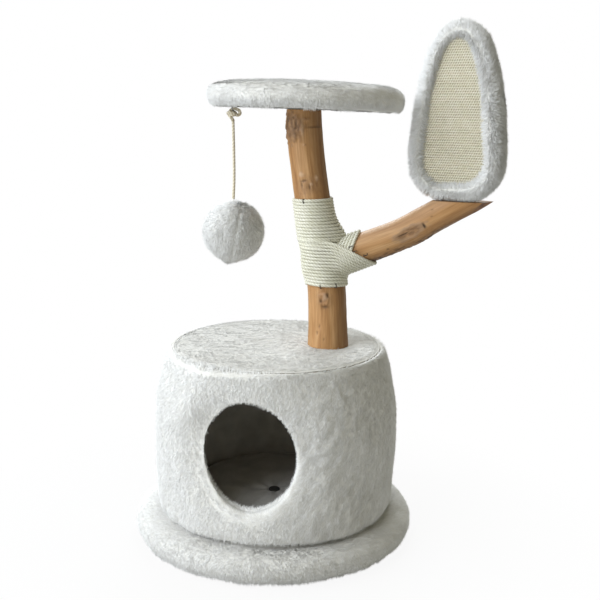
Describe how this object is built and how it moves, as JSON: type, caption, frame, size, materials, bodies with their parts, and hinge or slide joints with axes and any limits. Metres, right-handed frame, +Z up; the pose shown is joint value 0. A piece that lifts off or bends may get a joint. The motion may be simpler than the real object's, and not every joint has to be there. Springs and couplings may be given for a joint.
{
  "type": "cat tree",
  "caption": "Cat tree with a padded round base, a plush house with an oval doorway, a rope-wound log, a branch with a sisal scratcher, a round perch and a hanging plush ball.",
  "frame": {"origin": "middle of the flat underside of the base", "axes": "+Z is up, the doorway faces -Y, the branch leaves the log towards +X"},
  "size_m": [0.6093, 0.48, 0.8647],
  "materials": {
    "plush": "matte",
    "cushion": "matte",
    "lining": "matte",
    "felt": "matte",
    "foam": "matte",
    "wadding": "matte",
    "sisal": "matte",
    "cord": "matte",
    "log": "satin",
    "chipboard": "matte",
    "fibreboard": "matte",
    "steel": "satin",
    "button": "matte"
  },
  "bodies": {
    "stand": {"base_underlay": "felt", "base_board": "chipboard", "base_foam": "foam", "base_cover": "plush", "floor_screws": "steel", "house_floor": "chipboard", "house_wall": "fibreboard", "house_foam": "foam", "house_cover": "plush", "house_lining": "lining", "doorway_trim": "plush", "roof_board": "chipboard", "roof_cover": "plush", "roof_piping": "plush", "trunk": "log", "trunk_bolt": "steel", "trunk_washer": "steel", "trunk_nut": "steel", "trunk_rope": "sisal", "branch": "log", "branch_bolt": "steel", "branch_rope": "sisal", "rope_staples": "steel", "perch_underlay": "felt", "perch_board": "chipboard", "perch_foam": "foam", "perch_cover": "plush", "perch_bolt": "steel", "perch_nut": "steel", "scratcher_board": "chipboard", "scratcher_mat": "sisal", "scratcher_rim": "plush", "scratcher_back": "plush", "scratcher_dowels": "steel", "toy_staple": "steel"},
    "cushion": {"house_cushion": "cushion", "cushion_button": "button"},
    "knot": {"toy_knot": "cord"},
    "cord": {"toy_cord": "cord"},
    "ball": {"toy_ball": "plush", "toy_filling": "wadding"}
  },
  "joints": [
    {"name": "cushion_lift", "type": "slide", "parent": "stand", "child": "cushion", "axis": [0, 0, 1], "range_m": [0, 0.08]},
    {"name": "toy_side_swing", "type": "hinge", "parent": "stand", "child": "knot", "pos_m": [-0.0757, 0, 0.724], "axis": [0, 1, 0], "range_deg": [-14, 65]},
    {"name": "toy_front_swing", "type": "hinge", "parent": "knot", "child": "cord", "pos_m": [-0.0757, 0, 0.7125], "axis": [1, 0, 0], "range_deg": [-65, 65]},
    {"name": "toy_twist", "type": "hinge", "parent": "cord", "child": "ball", "pos_m": [-0.0757, 0, 0.5775], "axis": [0, 0, 1], "range_deg": [-180, 180]}
  ]
}
